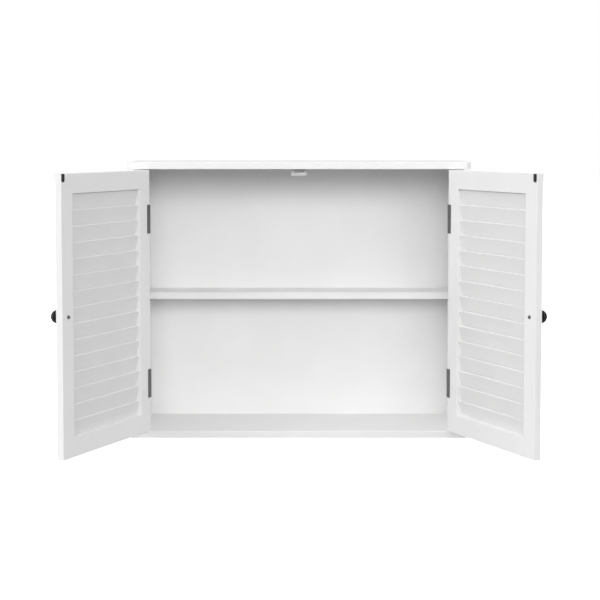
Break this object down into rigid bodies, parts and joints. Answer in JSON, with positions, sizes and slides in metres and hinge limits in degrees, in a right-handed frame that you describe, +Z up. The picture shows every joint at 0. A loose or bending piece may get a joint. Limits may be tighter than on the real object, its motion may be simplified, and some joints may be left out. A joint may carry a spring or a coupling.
{
  "type": "hanging wall cabinet",
  "caption": "White hanging wall cabinet with two outward-swinging louvred doors, a half-depth shelf, overhanging top and bottom boards, dark round knobs and butt hinges.",
  "frame": {"origin": "midway between the round ends of the two keyholes, on the wall plane", "axes": "+X to the right seen from the room, +Y into the wall, +Z up"},
  "size_m": [0.7946, 0.4257, 0.486],
  "materials": {
    "white_lacquer": "satin white lacquer on fibreboard",
    "white_back": "smooth white-faced hardboard",
    "dark_bronze": "dark oil-rubbed bronze, semi-gloss",
    "zinc_steel": "bright zinc plate",
    "magnet_steel": "dull nickel-plated steel",
    "white_plastic": "moulded, fine matt",
    "beech": "bare fluted beech"
  },
  "bodies": {
    "root": {"top_board": "white_lacquer", "bottom_board": "white_lacquer", "left_side_panel": "white_lacquer", "right_side_panel": "white_lacquer", "back_panel": "white_back", "shelf": "white_lacquer", "shelf_pins": "zinc_steel", "cam_locks": "zinc_steel", "cam_bolts": "zinc_steel", "wooden_dowels": "beech", "left_hanger_plate": "zinc_steel", "right_hanger_plate": "zinc_steel", "hanger_screws": "zinc_steel", "catch_housing": "white_plastic", "catch_magnet": "magnet_steel", "catch_screws": "zinc_steel", "left_upper_cabinet_leaf": "dark_bronze", "left_lower_cabinet_leaf": "dark_bronze", "right_upper_cabinet_leaf": "dark_bronze", "right_lower_cabinet_leaf": "dark_bronze", "left_upper_hinge_pin": "dark_bronze", "left_lower_hinge_pin": "dark_bronze", "right_upper_hinge_pin": "dark_bronze", "right_lower_hinge_pin": "dark_bronze", "cabinet_leaf_screws": "dark_bronze"},
    "left_door": {"left_hinge_stile": "white_lacquer", "left_meeting_stile": "white_lacquer", "left_top_rail": "white_lacquer", "left_bottom_rail": "white_lacquer", "left_slats": "white_lacquer", "left_upper_door_leaf": "dark_bronze", "left_lower_door_leaf": "dark_bronze", "left_door_leaf_screws": "dark_bronze", "left_knob": "dark_bronze", "left_knob_screw": "dark_bronze", "left_strike_plate": "dark_bronze", "left_strike_screw": "dark_bronze"},
    "right_door": {"right_hinge_stile": "white_lacquer", "right_meeting_stile": "white_lacquer", "right_top_rail": "white_lacquer", "right_bottom_rail": "white_lacquer", "right_slats": "white_lacquer", "right_upper_door_leaf": "dark_bronze", "right_lower_door_leaf": "dark_bronze", "right_door_leaf_screws": "dark_bronze", "right_knob": "dark_bronze", "right_knob_screw": "dark_bronze", "right_strike_plate": "dark_bronze", "right_strike_screw": "dark_bronze"}
  },
  "joints": [
    {"name": "left_door_hinge", "type": "hinge", "parent": "root", "child": "left_door", "pos_m": [-0.27375, -0.1719, -0.2005], "axis": [0, 0, -1], "range_deg": [-115, 65]},
    {"name": "right_door_hinge", "type": "hinge", "parent": "root", "child": "right_door", "pos_m": [0.27375, -0.1719, -0.2005], "axis": [0, 0, 1], "range_deg": [-115, 65]}
  ]
}
